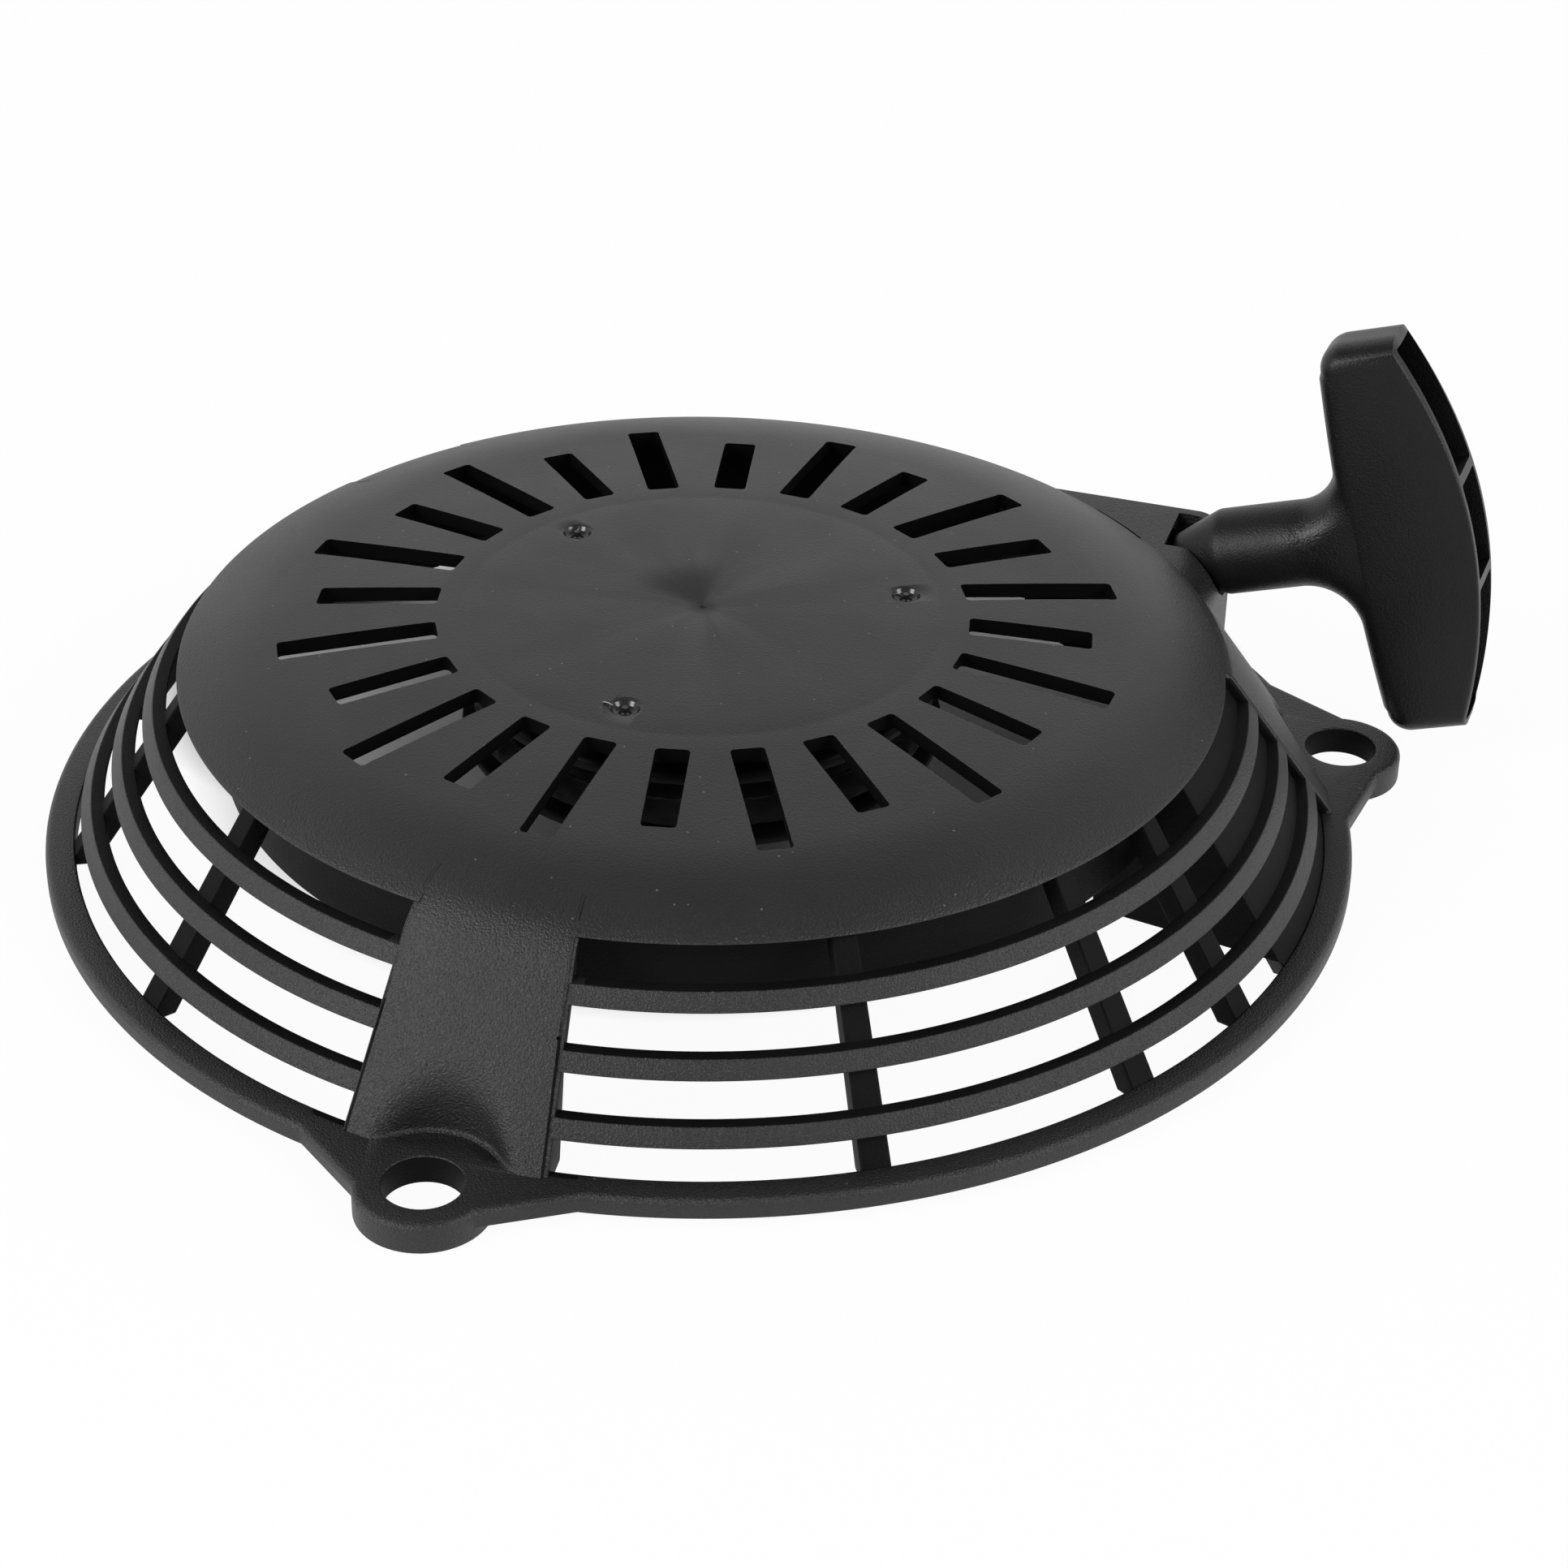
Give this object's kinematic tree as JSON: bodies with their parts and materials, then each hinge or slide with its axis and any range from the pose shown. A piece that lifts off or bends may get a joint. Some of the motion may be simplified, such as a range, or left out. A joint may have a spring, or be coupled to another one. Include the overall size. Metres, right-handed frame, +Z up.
{
  "type": "recoil starter",
  "caption": "Round recoil starter with a slotted dome, a banded air grille, mounting lugs, a spring-wound rope reel with pawls and a T handle on a rope.",
  "frame": {"origin": "on the reel's axis, in the plane of the lugs' feet", "axes": "+Z up along the reel's axis, away from the engine; +X towards the lug nearest the handle"},
  "size_m": [0.2286, 0.2, 0.0696],
  "materials": {
    "housing_black": "satin, finely grained",
    "handle_black": "satin, finely grained",
    "reel_black": "satin",
    "guide_grey": "satin",
    "rope_black": "braided",
    "spring_steel": "oiled",
    "pawl_steel": "tumbled",
    "zinc_plate": "zinc plated"
  },
  "bodies": {
    "housing_body": {"housing": "housing_black", "rope_eyelet": "zinc_plate", "rope_run": "rope_black", "main_spring": "spring_steel", "centre_screw": "zinc_plate", "thrust_washer": "zinc_plate"},
    "reel_body": {"reel": "reel_black", "rope_inner_layers": "rope_black", "rope_outer_layer": "rope_black", "rope_reel_knot": "rope_black", "pawl_pin_a": "zinc_plate", "pawl_pin_b": "zinc_plate", "pawl_spring_a": "spring_steel", "pawl_spring_b": "spring_steel", "friction_spring": "spring_steel"},
    "guide_body": {"ratchet_guide": "guide_grey"},
    "pawl_a_body": {"pawl_a": "pawl_steel"},
    "pawl_b_body": {"pawl_b": "pawl_steel"},
    "handle_body": {"handle": "handle_black", "rope_handle_end": "rope_black", "knot_washer": "zinc_plate"}
  },
  "joints": [
    {"name": "reel_spin", "type": "hinge", "parent": "housing_body", "child": "reel_body", "pos_m": [0, 0, 0], "axis": [0, 0, -1], "range_deg": [0, 1800], "stiffness_Nm_per_rad": 0.02, "springref_deg": -458.37, "deforming": ["main_spring"]},
    {"name": "handle_pull", "type": "slide", "parent": "housing_body", "child": "handle_body", "axis": [0.8473, -0.4411, 0.2957], "range_m": [0, 0.94], "deforming": ["rope_run"]},
    {"name": "guide_lag", "type": "hinge", "parent": "reel_body", "child": "guide_body", "pos_m": [0, 0, 0], "axis": [0, 0, 1], "range_deg": [0, 25], "stiffness_Nm_per_rad": 0.002, "springref_deg": -17.19},
    {"name": "pawl_a_swing", "type": "hinge", "parent": "reel_body", "child": "pawl_a_body", "pos_m": [0.017, 0, 0], "axis": [0, 0, 1], "range_deg": [0, 30]},
    {"name": "pawl_b_swing", "type": "hinge", "parent": "reel_body", "child": "pawl_b_body", "pos_m": [-0.017, 0, 0], "axis": [0, 0, 1], "range_deg": [0, 30]}
  ],
  "couplings": [
    {"joint": "handle_pull", "follows": "reel_spin", "m_per_rad": 0.0298},
    {"joint": "pawl_a_swing", "follows": "guide_lag", "ratio": 1.2},
    {"joint": "pawl_b_swing", "follows": "guide_lag", "ratio": 1.2}
  ]
}
